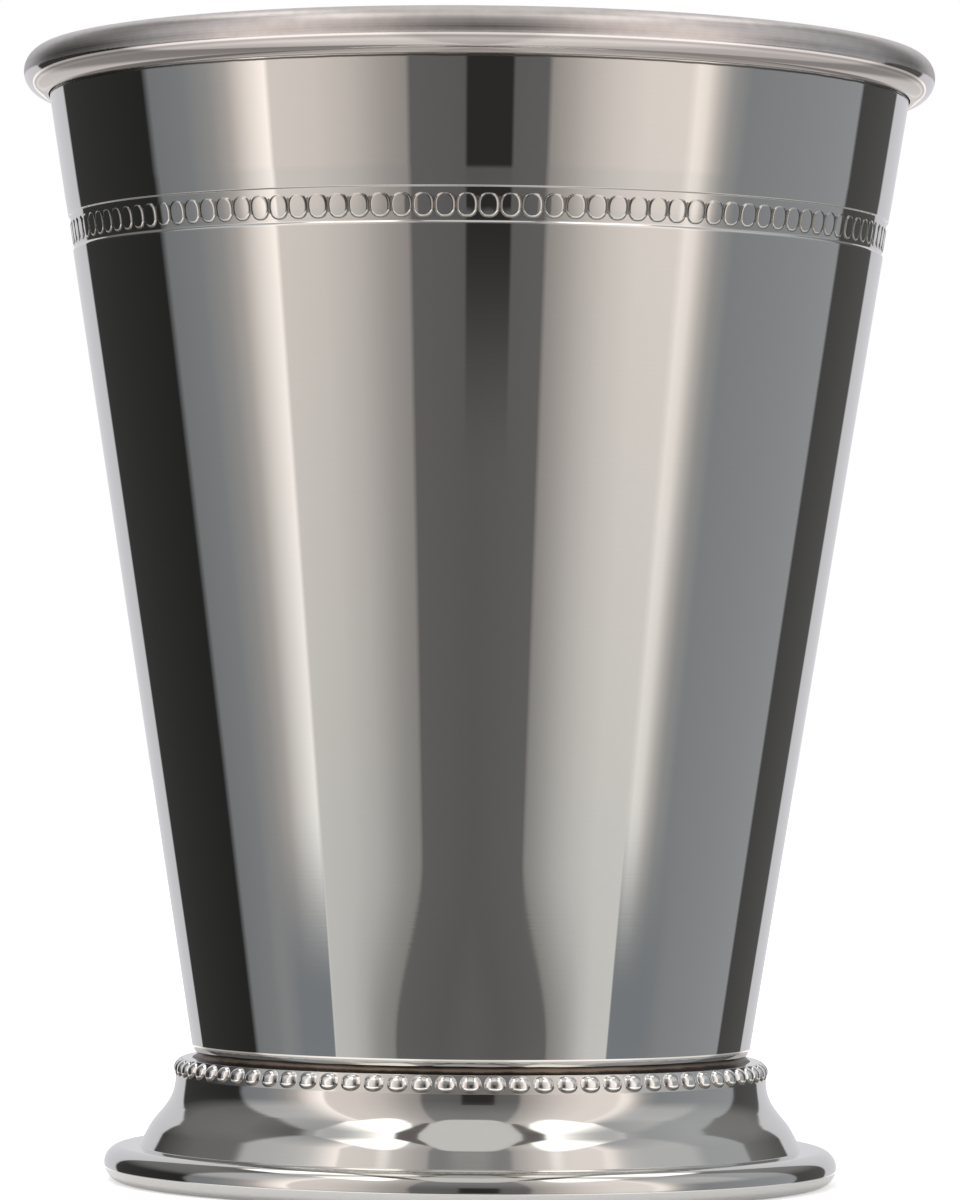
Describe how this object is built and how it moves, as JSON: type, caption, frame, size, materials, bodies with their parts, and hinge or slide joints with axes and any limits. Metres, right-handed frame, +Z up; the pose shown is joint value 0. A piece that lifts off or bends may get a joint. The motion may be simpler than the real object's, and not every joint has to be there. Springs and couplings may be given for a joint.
{
  "type": "julep cup",
  "caption": "Footed tapered tumbler of polished steel sheet with a rolled rim, a beaded band below it and a flared foot with a beaded shoulder, for holding a cold drink.",
  "frame": {"origin": "on the cup's axis, at the plane that the rolled base edge stands on", "axes": "+Z up along the cup's axis, out of the mouth; +X and +Y are alike, because the cup is round"},
  "size_m": [0.089, 0.089, 0.1098],
  "materials": {
    "cup_polished_steel": "mirror-polished stainless steel with faint turning lines around the wall",
    "foot_polished_steel": "mirror-polished stainless steel",
    "braze_filler": "dull brown braze in the crevice"
  },
  "bodies": {
    "root": {"cup_body": "cup_polished_steel", "foot": "foot_polished_steel", "braze_ring": "braze_filler"}
  },
  "joints": []
}
